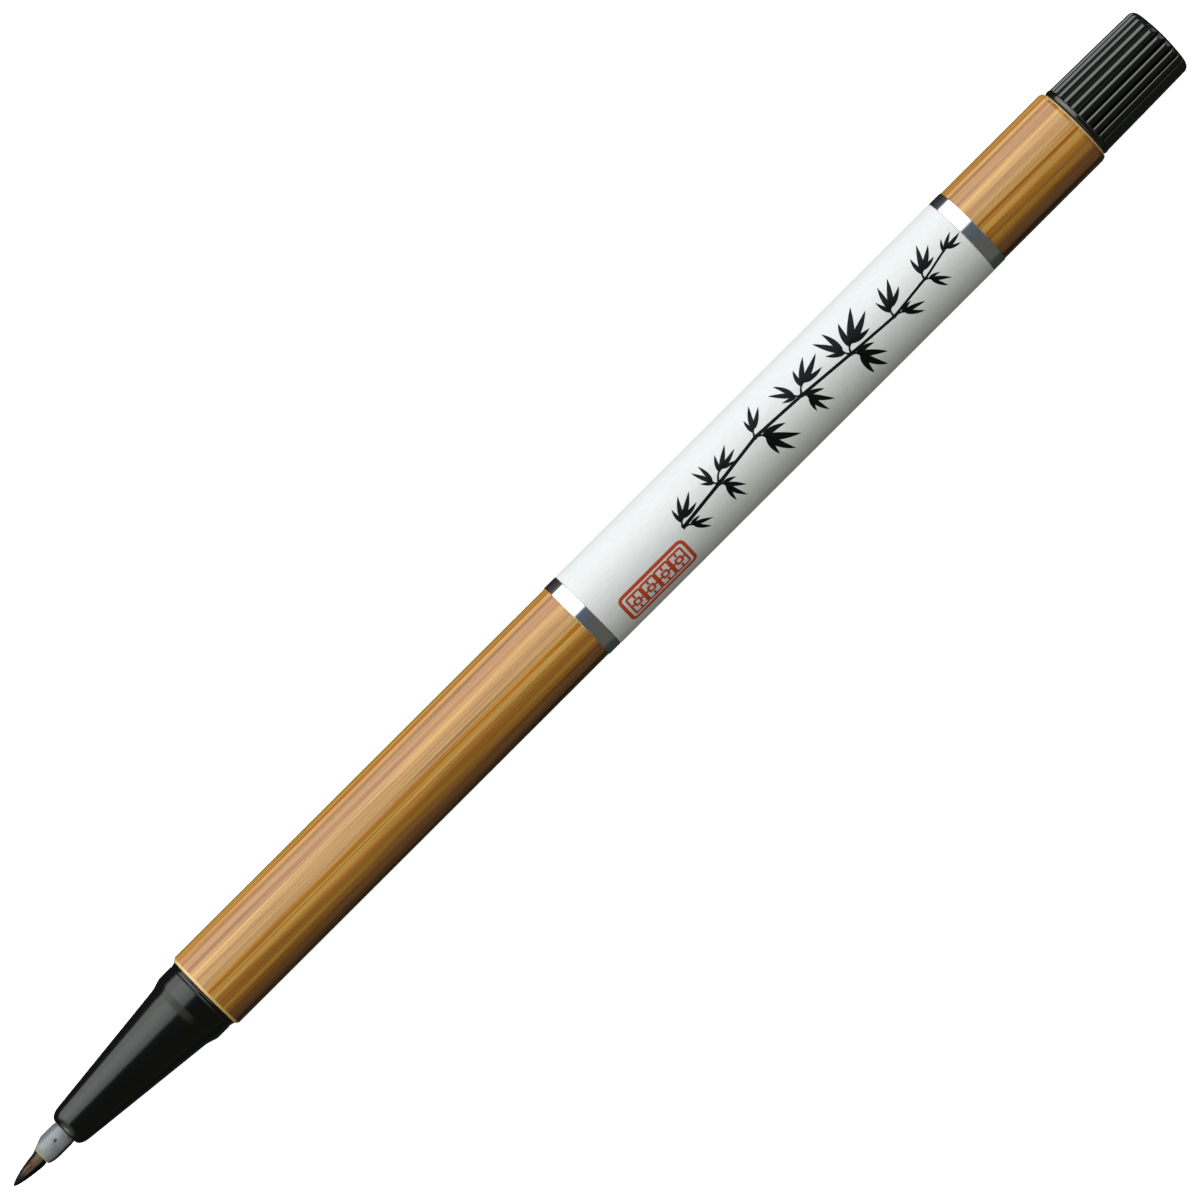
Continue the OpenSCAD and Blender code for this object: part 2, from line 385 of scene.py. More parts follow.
def bamboo_colour(s):
    """Colour of the bamboo print, with painted shade on its -Y edge and a painted highlight line near its +Y
    edge, and the fine grain that it follows.
    """
    drift = s.noise(s.stretched(14, 260), detail=2)
    sway = s.math("MULTIPLY", s.math("SUBTRACT", drift, 0.5), 3.0)
    halves = []
    for flip, stops in ((1, PRINT_AND_PAINTED_LIGHT_TOP), (-1, PRINT_AND_PAINTED_SHADE_UNDER)):
        angle = s.math("ADD", s.angle(flip), sway)
        halves.append(s.ramp(s.span(angle, -90, 90), [((a + 90) / 180, tint) for a, tint in stops]))
    colour = s.mix(s.span(s.across()[1], -0.05, 0.05), halves[1], halves[0])
    broad = s.noise(s.stretched(22, 900), detail=2, roughness=0.6)
    colour = s.mix(s.span(broad, 0.5, 0.72, 0, 0.35), colour, ROSE)
    colour = s.mix(s.span(broad, 0.5, 0.3, 0, 0.35), colour, AMBER)
    grain = s.noise(s.stretched(45, 5200), detail=4, roughness=0.65)
    shade = s.ramp(grain, [(0.34, (0.66, 0.56, 0.46)), (0.5, (1.0, 1.0, 1.0)), (0.68, (1.18, 1.2, 1.26))])
    colour = s.mix(1.0, colour, shade, "MULTIPLY")
    lines = s.noise(s.stretched(24, 3100), detail=3, roughness=0.55)
    return s.mix(s.span(lines, 0.6, 0.67, 0, 0.45), colour, BROWN), grain


def bamboo_print():
    """Glossy film printed with bamboo grain that runs lengthwise."""
    s = Shader("bamboo_print", IOR=1.45, Specular_IOR_Level=0.0, Coat_Weight=1.0, Coat_Roughness=0.06,
               Coat_IOR=1.5)
    colour, grain = bamboo_colour(s)
    return s.finish(colour, s.span(grain, 0.3, 0.7, 0.42, 0.34), s.bump(grain, 0.004, 0.25))


def barrel_plastic():
    """Warm yellow polished plastic with a printed bevel. Its -Y side is painted deeper as shade, and the rear
    rim is painted paler as a highlight.

    The plastic only shows at the two rims, so it changes from one end's looks to the other's in between.
    """
    between = (90, 110)
    bevel_print = (4.84, 4.89)
    s = Shader("barrel_plastic", IOR=1.5, Subsurface_Weight=0.1, Subsurface_Scale=0.001)
    cloud = s.noise(s.place(), scale=700, detail=4)
    colour = s.ramp(cloud, [(0.3, (0.8, 0.52, 0.2)), (0.7, (0.88, 0.6, 0.27))])
    # Painted shade: the -Y side is tinted a deeper ochre.
    colour = s.mix(s.span(s.angle(), 15, -20), colour, (0.66, 0.41, 0.11))
    # Painted highlight: the rear rim is tinted paler, as if lit.
    colour = s.mix(s.span(s.station(), *between, 0, 0.8), colour, (1.0, 0.85, 0.4))
    printed = s.math("MULTIPLY", s.span(s.radius(), *bevel_print), s.span(s.station(), *between))
    colour = s.mix(printed, colour, bamboo_colour(s)[0])
    rough = s.span(cloud, 0.3, 0.7, 0.2, 0.28)
    return s.finish(colour, rough, s.bump(s.noise(s.place(), scale=9000), 0.002, 0.3))


def silver_foil():
    """Bright hot-stamped foil with very fine wrinkles."""
    s = Shader("silver_foil", Metallic=1.0)
    fine = s.noise(s.stretched(9000, 900), detail=3)
    colour = s.ramp(fine, [(0.3, (0.76, 0.78, 0.82)), (0.7, (0.86, 0.87, 0.9))])
    return s.finish(colour, s.span(fine, 0.3, 0.7, 0.05, 0.09), s.bump(fine, 0.001, 0.3))


def label_paper():
    """Off-white paper with short fibres pressed into it."""
    s = Shader("label_paper", IOR=1.45, Specular_IOR_Level=0.35)
    fibres = s.noise(s.stretched(900, 3600), detail=6, roughness=0.7)
    cloud = s.noise(s.place(), scale=260, detail=3)
    colour = s.ramp(fibres, [(0.3, (0.75, 0.755, 0.725)), (0.55, (0.8, 0.805, 0.775)),
                             (0.75, (0.83, 0.835, 0.805))])
    colour = s.mix(s.span(cloud, 0.35, 0.7, 0, 0.25), colour, (0.77, 0.775, 0.735))
    return s.finish(colour, s.span(fibres, 0.3, 0.7, 0.62, 0.5), s.bump(fibres, 0.01, 0.35))


def black_plastic(name, ior, rough):
    """Black plastic with faint handling marks. rough is the roughness where it is most worn."""
    s = Shader(name, IOR=ior, Specular_Tint=(1, 1, 0.91, 1))
    cloud = s.noise(s.place(), scale=500, detail=5, roughness=0.6)
    marks = s.noise(s.stretched(300, 6000), detail=4, roughness=0.7)
    colour = s.ramp(cloud, [(0.3, (0.0006, 0.0007, 0.0006)), (0.7, (0.0013, 0.0014, 0.0013))])
    return s.finish(colour, s.span(marks, 0.3, 0.75, rough * 0.6, rough), s.bump(marks, 0.0012, 0.3))


def nib_fibre():
    """Bonded fibres: ink-black at the point, brown and olive where less ink has soaked in, with painted shade
    turning both sides black.
    """
    s = Shader("nib_fibre", IOR=1.4, Specular_IOR_Level=0.12)
    fibres = s.noise(s.stretched(260, 9000), detail=4, roughness=0.7)
    station = s.math("ADD", s.station(), s.math("MULTIPLY", fibres, 0.6))
    along = s.ramp(s.span(station, 0, 5), [(0.0, (0.004, 0.004, 0.004)), (0.2, (0.012, 0.01, 0.008)),
                                           (0.42, (0.075, 0.056, 0.034)), (0.6, (0.12, 0.09, 0.052)),
                                           (0.72, (0.18, 0.07, 0.05)), (0.82, (0.12, 0.1, 0.062)),
                                           (0.95, (0.3, 0.28, 0.16)), (1.0, (0.36, 0.35, 0.25))])
    stripes = s.noise(s.stretched(300, 5200), detail=2)
    body = s.span(station, 1.2, 2.8, 0, 0.8)
    colour = s.mix(s.math("MULTIPLY", s.span(stripes, 0.46, 0.58), body), along, (0.11, 0.095, 0.052))
    colour = s.mix(s.math("MULTIPLY", s.span(stripes, 0.46, 0.38), body), colour, (0.045, 0.02, 0.016))
    # Painted shade: both sides, measured round a slightly leaned axis, turn black and leave a lighter band on
    # the lit side.
    side, up = s.across()
    leaned = s.math("DEGREES", s.math("ARCTAN2", s.math("ADD", side, 0.16), up))
    turn = s.math("ADD", leaned, s.math("MULTIPLY", fibres, 14.0))
    colour = s.mix(s.span(turn, 38, 54, smooth=True), colour, (0.004, 0.004, 0.004))
    colour = s.mix(s.span(turn, -8, -24, smooth=True), colour, (0.004, 0.004, 0.004))
    colour = s.mix(s.span(station, 2.3, 1.1), colour, (0.004, 0.004, 0.004))
    colour = s.mix(s.span(fibres, 0.45, 0.25, 0, 0.6), colour, (0.008, 0.007, 0.006))
    return s.finish(colour, s.span(fibres, 0.3, 0.7, 0.6, 0.45), s.bump(fibres, 0.02, 0.6))


def holder_plastic():
    """Translucent grey moulded plastic, with painted shade along its sides: a darker band on its +Y edge and
    near black on its -Y side.
    """
    s = Shader("holder_plastic", IOR=1.48, Subsurface_Weight=0.25, Subsurface_Scale=0.0008)
    s.bsdf.inputs["Subsurface Radius"].default_value = (1.0, 1.0, 1.0)
    cloud = s.noise(s.place(), scale=1500, detail=4)
    colour = s.ramp(cloud, [(0.3, (0.255, 0.275, 0.275)), (0.7, (0.315, 0.335, 0.335))])
    # Painted shade: a darker band along the +Y edge.
    colour = s.mix(s.span(s.angle(), 35, 44, smooth=True), colour, (0.16, 0.155, 0.17))
    front = s.math("ADD", s.station(), s.math("MULTIPLY", s.angle(), -0.003))
    stained = s.span(front, X_HOLDER + 0.8, X_HOLDER + 0.2, 0, 0.65, smooth=True)
    colour = s.mix(stained, colour, (0.26, 0.24, 0.11))
    # Painted shade: near black along the -Y side.
    colour = s.mix(s.span(s.angle(), -50, -62, smooth=True), colour, (0.008, 0.008, 0.009))
    rough = s.span(cloud, 0.3, 0.7, 0.4, 0.3)
    return s.finish(colour, rough, s.bump(s.noise(s.place(), scale=12000), 0.002, 0.3))


def fibre_bundle(name, dark, light):
    """A rod of fibres soaked with ink."""
    s = Shader(name, IOR=1.4, Sheen_Weight=0.1, Sheen_Roughness=0.5)
    fibres = s.noise(s.stretched(150, 7000), detail=5, roughness=0.75)
    ends = s.noise(s.place(), scale=9000, detail=3)
    colour = s.mix(s.span(ends, 0.4, 0.6, 0, 0.5), s.ramp(fibres, [(0.3, dark), (0.72, light)]), dark)
    return s.finish(colour, s.span(fibres, 0.3, 0.7, 0.85, 0.6), s.bump(fibres, 0.05, 0.8))


def clear_film():
    """Thin clear film round the reservoir."""
    s = Shader("clear_film", IOR=1.45, Transmission_Weight=0.8, Coat_Weight=0.5, Coat_Roughness=0.05)
    wrinkle = s.noise(s.stretched(300, 1200), detail=4)
    colour = s.ramp(wrinkle, [(0.3, (0.72, 0.76, 0.8)), (0.7, (0.84, 0.87, 0.9))])
    return s.finish(colour, s.span(wrinkle, 0.3, 0.7, 0.08, 0.2), s.bump(wrinkle, 0.02, 0.4))


def printed_ink(name, thin, thick):
    """Printed ink that lets a little of the paper show where it is thin."""
    s = Shader(name, IOR=1.45, Specular_IOR_Level=0.15)
    cover = s.noise(s.place(), scale=5200, detail=5, roughness=0.7)
    colour = s.ramp(cover, [(0.28, thin), (0.45, thick)])
    return s.finish(colour, s.span(cover, 0.3, 0.7, 0.6, 0.42), s.bump(cover, 0.004, 0.4))


BAMBOO = bamboo_print()
BARREL = barrel_plastic()
FOIL = silver_foil()
PAPER = label_paper()
GRIP_BLACK = black_plastic("black_plastic_satin", 1.5, 0.2)
TAIL_BLACK = black_plastic("black_plastic_gloss", 1.7, 0.12)
NIB = nib_fibre()
HOLDER = holder_plastic()
BLACK_INK = printed_ink("black_ink", (0.012, 0.012, 0.013), (0.003, 0.003, 0.003))
RED_INK = printed_ink("red_ink", (0.7, 0.16, 0.07), (0.6, 0.07, 0.02))


# ------------------------------------------------------------------ nib and holder

# How far the exposed nib is moved towards -Y, and how much further its tip leans
NIB_LEAN = 0.15
TIP_LEAN = 0.11

# The nib's outline is part bullet and part cone, and its ridges have a depth
BULLET_SHARE = 0.68
CONE_SHARE = 0.32
RIDGE_DEPTH = 0.016


def nib():
    """The pointed fibre nib with its stem. Fine ridges run along it, and the point leans a little to -Y."""
    steps = 22
    point = []
    for i in range(1, steps + 1):
        turn = math.pi / 2 * i / steps
        rise = 1 - math.cos(turn)
        point.append((X_HOLDER * rise, NIB_R * (BULLET_SHARE * math.sin(turn) ** 1.2 + CONE_SHARE * rise)))
    stem = rounded([(X_HOLDER + 0.3, NIB_R), (X_SEAT, NIB_R, 0.1), (X_SEAT, 0)], closed=False)
    outline = [(0, 0)] + point + stem

    def ridged(station, radius, angle):
        ridge = (0.5 * math.sin(41 * angle) + 0.3 * math.sin(67 * angle + 1.7)
                 + 0.2 * math.sin(29 * angle + 0.6))
        fade = min(1, radius / NIB_R) * (1 if station < X_HOLDER + 0.2 else 0.3)
        return radius - RIDGE_DEPTH * fade * (0.5 + 0.5 * ridge)

    verts, faces = turned(outline, full_turn(216), closed=False, shape=ridged)
    for v in verts:
        share = max(0, 1 - (v.x - TIP_X) / (X_HOLDER * MM))
        held = min(1, share / 0.1)
        v.y -= (NIB_LEAN * held * held * (3 - 2 * held) + TIP_LEAN * share * share) * MM
    piece("nib_point", verts, faces, "nib_unit", NIB, ["nib"], sharp=60)


def nib_holder():
    """The holder: a rounded nose with a bevel on its +Y side, a vent on top and air grooves in its stem."""
    nose_r = NIB_R + 0.1
    nose_len = 1.5
    vent = (X_HOLDER + 2.35, 0.17)
    bevel = (0.93, math.tan(math.radians(22)))
    stem_end = X_SEAT - 0.02
    nose = [(X_HOLDER + nose_len * (1 - math.cos(a)), nose_r + (BULB_R - nose_r) * math.sin(a))
            for a in (math.pi / 2 * i / 14 for i in range(15))]
    body = [(X_HOLDER + nose_len + 0.02 + i * 0.055, BULB_R - 0.0002 * i) for i in range(1, 32)]
    stem = [(X_MOUTH - 0.45, BULB_R - 0.012), (X_MOUTH - 0.2, STEM_R + 0.035), (X_MOUTH, STEM_R),
            (X_MOUTH + 0.4, STEM_R), (stem_end - 0.1, STEM_R), (stem_end, STEM_R - 0.1)]
    outline = [(X_HOLDER, NIB_R), (X_HOLDER, NIB_R + 0.05)] + nose + body + stem + [(stem_end, NIB_R)]

    def shaped(station, radius, angle):
        if radius <= NIB_R + 0.001:
            return radius
        side = math.sin(angle)
        plane = bevel[0] + (station - X_HOLDER) * bevel[1]
        if side > 0.05:
            radius = smooth_min(radius, max(plane / side, NIB_R + 0.02), 0.05)
        across = radius * math.remainder(angle, TURN)
        from_vent = math.hypot(station - vent[0], across)
        if from_vent < vent[1] + 0.06:
            radius -= 0.35 * min(1, (vent[1] + 0.06 - from_vent) / 0.07)
        if X_MOUTH - 0.1 < station < stem_end + 1:
            for groove in (90, 210, 330):
                off = abs(math.remainder(angle - math.radians(groove), TURN)) * radius
                radius -= 0.14 * max(0, min(1, (0.19 - off) / 0.06))
        return radius

    verts, faces = turned(outline, full_turn(288), shape=shaped)
    piece("nib_holder_body", verts, faces, "nib_unit", HOLDER, ["nib_holder"], sharp=42)


# ------------------------------------------------------------------ grip section

def grip():
    """The tapered grip: rounded mouth, cone, cap collar, flange and the beaded spigot inside the barrel."""
    flange = X_BARREL - 0.7
    collar = flange - 1.8
    cone = collar - 1.3
    chamber = X_SEAT + 1.5
    end = X_GRIP_END
    hollow_r = 2.75
    front_r, rear_r, collar_r, edge_r, round_len = 2.435, 4.15, 4.56, 1.57, 1.7
    turns = [math.radians(79 * i / 14) for i in range(15)]
    rise = (front_r - edge_r) / math.sin(turns[-1])
    mouth = [(X_MOUTH + round_len * (1 - math.cos(a)), edge_r + rise * math.sin(a)) for a in turns]
    outline = [(X_MOUTH, GRIP_BORE_R + 0.08)] + mouth + rounded([
        mouth[-1], (cone, rear_r, 0.35), (collar, collar_r, 0.2),
        (flange, collar_r, 0.03), (flange + 0.09, collar_r - 0.08, 0.03),
        (flange + 0.19, collar_r - 0.01, 0.02), (X_BARREL - 0.34, collar_r, 0.04),
        (X_BARREL - 0.02, FLANGE_R + 0.02, 0.04), (X_BARREL - 0.02, SPIGOT_R, 0.03),
        *bead(X_BARREL + 2.6), *bead(X_BARREL + 7.8),
        (end - 0.5, SPIGOT_R, 0.1), (end, SPIGOT_R - 0.3, 0.06), (end, hollow_r, 0.06),
        (chamber + 7, hollow_r, 0.4), (chamber, 2.1, 0.1),
        (chamber, WICK_BORE_R), (X_SEAT, WICK_BORE_R, 0.02),
        (X_SEAT, GRIP_BORE_R), (X_MOUTH + 0.15, GRIP_BORE_R, 0.03), (X_MOUTH, GRIP_BORE_R + 0.08, 0.03),
    ], closed=False)[1:-1]
    ribs = []
    for quarter in range(4):
        turn = Matrix.Rotation(quarter * math.pi / 2, 2)
        for x0, x1, reach in ((chamber + 1.5, chamber + 7, 2.2), (chamber + 7, end - 1.5, 2.8)):
            corners = [turn @ Vector(c) for c in ((-0.35, 1.25), (0.35, 1.25), (0.35, reach), (-0.35, reach))]
            ribs.append(prism([tuple(c) for c in corners], x0, x1))
    verts, faces = joined(turned(outline, full_turn(256)), *ribs)
    piece("grip_body", verts, faces, "front_section", GRIP_BLACK, ["grip_section"])


# ------------------------------------------------------------------ barrel

def barrel():
    """The plastic tube with bevelled rims, and inside it the ribs that centre the reservoir."""
    bevel_r, front, rear = 0.24, X_FILM - X_BARREL, X_TAIL - X_FILM_END
    outline = rounded([
        (X_BARREL, TUBE_BORE_R, 0.08), (X_BARREL, TUBE_R - bevel_r, 0.05),
        (X_BARREL + 0.1, TUBE_R - 0.07, 0.06), (X_BARREL + front, TUBE_R, 0.04),
        (X_TAIL - rear + 0.01, TUBE_R), (X_TAIL - rear + 0.015, FILM_R - 0.012, 0.02),
        (X_TAIL - 0.12, TUBE_R - 0.07, 0.08), (X_TAIL, TUBE_R - bevel_r, 0.06), (X_TAIL, TUBE_BORE_R, 0.08)])
    rib_front, rib_rear = stations("ink_reservoir")[0] + 1, stations("ink_reservoir")[0] + 100
    ribs = []
    for k in range(6):
        turn = Matrix.Rotation(k * math.pi / 3, 2)
        inner, outer = TUBE_BORE_R - 0.15, TUBE_BORE_R + 0.1
        corners = [turn @ Vector(c) for c in ((-0.3, inner), (0.3, inner), (0.3, outer), (-0.3, outer))]
        ribs.append(prism([tuple(c) for c in corners], rib_front, rib_rear))
    verts, faces = joined(turned(outline, full_turn(256)), *ribs)
    piece("barrel_body", verts, faces, "barrel", BARREL, ["barrel_tube"])


def sleeve(name, node, inner, outer, rounding, material, rings=1, angles=None, wrap=True):
    """A thin round layer between a CAD node's ends, with softened edges."""
    x0, x1 = stations(node)
    middle = [(x0 + (x1 - x0) * i / rings, outer) for i in range(1, rings)]
    corners = [(x0, inner), (x0, outer, rounding), *middle, (x1, outer, rounding), (x1, inner)]
    outline = rounded(corners, hold=0.02)
    verts, faces = turned(outline, angles or full_turn(320), wrap=wrap)
    piece(name, verts, faces, "barrel", material, [node])


def barrel_layers():
    """The printed film, the two foil bands and the label."""
    sleeve("bamboo_film_skin", "bamboo_film", TUBE_R, FILM_R, 0.02, BAMBOO, rings=40)
    sleeve("foil_band_front", "front_band", FILM_R, BAND_R, 0.03, FOIL)
    sleeve("foil_band_rear", "rear_band", FILM_R, BAND_R, 0.03, FOIL)
    past_underside = 35
    seam = math.radians(180 + past_underside)
    gap = math.radians(5)
    count = 355
    angles = [seam + gap / 2 + (TURN - gap) * i / count for i in range(count + 1)]
    sleeve("label_sheet", "paper_label", FILM_R, LABEL_R, 0.025, PAPER, rings=20,
           angles=angles, wrap=False)


# ------------------------------------------------------------------ marks on the label

# Thickness of the printed ink, what each later stroke adds to it, and how far ink reaches into the paper
INK_T = 0.008
LAYER_T = 0.00008
INK_DEPTH = 0.01


def on_label(u, v, height):
    """A point on the label: u mm from its front edge, v mm round from the top, height above the paper."""
    return place(X_LABEL + u, LABEL_R + height, v / LABEL_R)


def smooth_path(points, steps=8):
    """A smooth curve through (u, v, width) points."""
    ends = [points[0]] + points + [points[-1]]
    out = []
    for k in range(len(points) - 1):
        p0, p1, p2, p3 = (Vector(p) for p in ends[k:k + 4])
        for i in range(steps):
            t = i / steps
            out.append(0.5 * ((2 * p1) + (p2 - p0) * t + (2 * p0 - 5 * p1 + 4 * p2 - p3) * t ** 2
                              + (3 * p1 - p0 - 3 * p2 + p3) * t ** 3))
    out.append(Vector(points[-1]))
    return out


def resampled(path, loop, step=0.22):
    """The same path with points close enough together to follow the label's curve."""
    points = [Vector(p) for p in path]
    if loop:
        points.append(points[0])
    out = []
    for a, b in zip(points, points[1:]):
        count = max(1, math.ceil((b - a).length / step))
        out += [a.lerp(b, i / count) for i in range(count)]
    return out if loop else out + [points[-1]]


def stroke(path, layer, loop=False):
    """A closed shell as thick as a layer of ink, along a path of (u, v, width) points.

    Five points across its top and its underside let it follow the label's curve.
    """
    top = INK_T + LAYER_T * layer
    across = (-1, -0.5, 0, 0.5, 1)
    ring = [(share, top) for share in across] + [(share, -INK_DEPTH) for share in reversed(across)]
    path = resampled(path, loop)
    verts, faces, n, m = [], [], len(path), len(ring)
    for i, point in enumerate(path):
        before = path[i - 1] if loop or i > 0 else point
        after = path[(i + 1) % n] if loop or i < n - 1 else point
        along = Vector((after[0] - before[0], after[1] - before[1])).normalized()
        side = Vector((-along.y, along.x)) * max(point[2], 0.02) / 2
        verts += [on_label(point[0] + share * side.x, point[1] + share * side.y, height)
                  for share, height in ring]
    for i in range(n if loop else n - 1):
        a, b = m * i, m * ((i + 1) % n)
        faces += [[a + k, a + (k + 1) % m, b + (k + 1) % m, b + k] for k in range(m)]
    if not loop:
        faces += [list(range(m)), list(range(m * n - m, m * n))]
    return verts, faces


def leaf(u, v, heading, length, width, bend=0.0):
    """The path of a bamboo leaf painted in one pull of the brush. heading and bend are in degrees."""
    path, steps = [], 18
    x, y = u, v
    for i in range(steps + 1):
        t = i / steps
        turn = math.radians(heading + bend * (t - 0.3))
        path.append((x, y, width * (math.sin(math.pi * min(1, t ** 0.62)) ** 0.8 * 0.94 + 0.06 * (1 - t))))
        x += math.cos(turn) * length / steps
        y += math.sin(turn) * length / steps
    return path


# Joints of the painted stem: u, v, width
JOINTS = [(13.5, -1.0, 0.62), (19.6, -0.35, 0.6), (26.0, 0.45, 0.58), (32.8, 0.1, 0.56), (39.8, -0.5, 0.52),
          (46.0, -0.95, 0.46), (51.2, -0.4, 0.38), (55.0, 0.3, 0.26)]

# Fans of leaves at the end of a twig: turn from the twig's heading, share of the full length, bend
FANS = [
    [(-52, 0.74, 30), (-20, 1.0, 16), (9, 0.88, -12), (42, 0.6, -30)],
    [(-62, 0.6, 30), (-30, 0.92, 20), (-2, 1.0, 8), (30, 0.7, -24)],
    [(-26, 0.86, 18), (3, 1.0, -10), (34, 0.6, -26)],
]

# Twigs: the joint that it grows from, heading, reach, leaf length and which fan
TWIGS = [
    (0, 50, 1.2, 3.1, 0), (0, -28, 1.3, 2.5, 2), (1, 112, 0.9, 2.7, 2), (1, 38, 1.9, 2.9, 1),
    (1, -52, 1.0, 2.9, 0), (2, -40, 1.4, 4.2, 1), (2, 58, 1.0, 3.0, 2), (3, 134, 1.0, 3.0, 2),
    (3, 40, 1.6, 3.6, 0), (3, -50, 1.0, 3.2, 1), (4, 118, 1.1, 3.7, 2), (4, 48, 1.4, 4.3, 1),
    (4, -48, 1.2, 3.9, 0), (5, 70, 1.2, 3.4, 0), (5, -20, 1.4, 2.7, 2), (6, 60, 1.2, 3.2, 1),
    (6, -42, 0.9, 2.4, 2), (7, 22, 0.4, 2.4, 0),
]


def spray(joint, heading, reach, length, fan):
    """Paths of a twig and of the leaves at its end."""
    u, v, _ = JOINTS[joint]
    du, dv = math.cos(math.radians(heading)), math.sin(math.radians(heading))
    tip = (u + reach * du, v + reach * dv)
    knee = (u + reach * (0.5 * du - 0.1 * dv), v + reach * (0.5 * dv + 0.1 * du))
    paths = [smooth_path([(u, v, 0.3), (*knee, 0.2), (*tip, 0.2)])]
    for k, (turn, share, bend) in enumerate(FANS[fan]):
        back = 0.1 + 0.16 * k
        paths.append(leaf(tip[0] - back * du, tip[1] - back * dv, heading + turn, length * share,
                          0.2 * length * share ** 0.5, bend))
    return paths


def painted_branch():
    """One bamboo branch in black ink along the label: a jointed stem with twigs and leaves."""
    stem = []
    for (u, v, width), (next_u, next_v, _) in zip(JOINTS, JOINTS[1:]):
        stem += [(u, v, width), (u + 0.5, v + (next_v - v) * 0.08, width * 0.68),
                 (next_u - 0.5, next_v - (next_v - v) * 0.08, width * 0.64)]
    paths = [smooth_path(stem + [JOINTS[-1]])]
    for values in TWIGS:
        paths += spray(*values)
    verts, faces = joined(*(stroke(path, i) for i, path in enumerate(paths)))
    piece("label_painted_branch", verts, faces, "barrel", BLACK_INK)


def rounded_frame(u0, v0, u1, v1, corner, width):
    """The closed path of a rounded rectangle."""
    path = []
    for centre_u, centre_v, start in ((u1 - corner, v1 - corner, 0), (u0 + corner, v1 - corner, 90),
                                      (u0 + corner, v0 + corner, 180), (u1 - corner, v0 + corner, 270)):
        for i in range(7):
            a = math.radians(start + 15 * i)
            path.append((centre_u + corner * math.cos(a), centre_v + corner * math.sin(a), width))
    return path


def seal():
    """A red stamp with a plain window-lattice pattern in a rounded frame."""
    u0, u1, v0, v1 = 2.8, 12.35, -5.15, -1.75
    line = 0.27
    shells = [stroke(rounded_frame(u0, v0, u1, v1, 0.55, 0.42), 0, loop=True)]
    cells = 4
    inset = 0.55
    cell = (u1 - u0 - 2 * inset) / cells
    middle = (v0 + v1) / 2
    for k in range(cells):
        a, b = u0 + inset + k * cell + 0.12, u0 + inset + (k + 1) * cell - 0.12
        low, high = v0 + inset, v1 - inset
        shells.append(stroke(rounded_frame(a, low, b, high, 0.15, line), 1 + k, loop=True))
        centre = (a + b) / 2
        bars = [((a, middle), (a + cell * 0.3, middle)), ((b - cell * 0.3, middle), (b, middle)),
                ((centre, low), (centre, low + 0.6)), ((centre, high - 0.6), (centre, high))]
        for i, (start, end) in enumerate(bars):
            shells.append(stroke([(*start, line), (*end, line)], 6 + 4 * k + i))
        core = rounded_frame(centre - 0.38, middle - 0.34, centre + 0.38, middle + 0.34, 0.1, line)
        shells.append(stroke(core, 24 + k, loop=True))
    verts, faces = joined(*shells)
    piece("label_seal", verts, faces, "barrel", RED_INK)


# ------------------------------------------------------------------ tail plug

# The plug's ribs: how many, the radius of their round backs, their height, the slope at which a back
# turns into a straight flank, and the degrees from the top to the first rib
RIBS = 23
RIB_R = 0.5
RIB_H = 0.55
RIB_SLOPE = math.radians(62)
RIB_TURN = 2.2


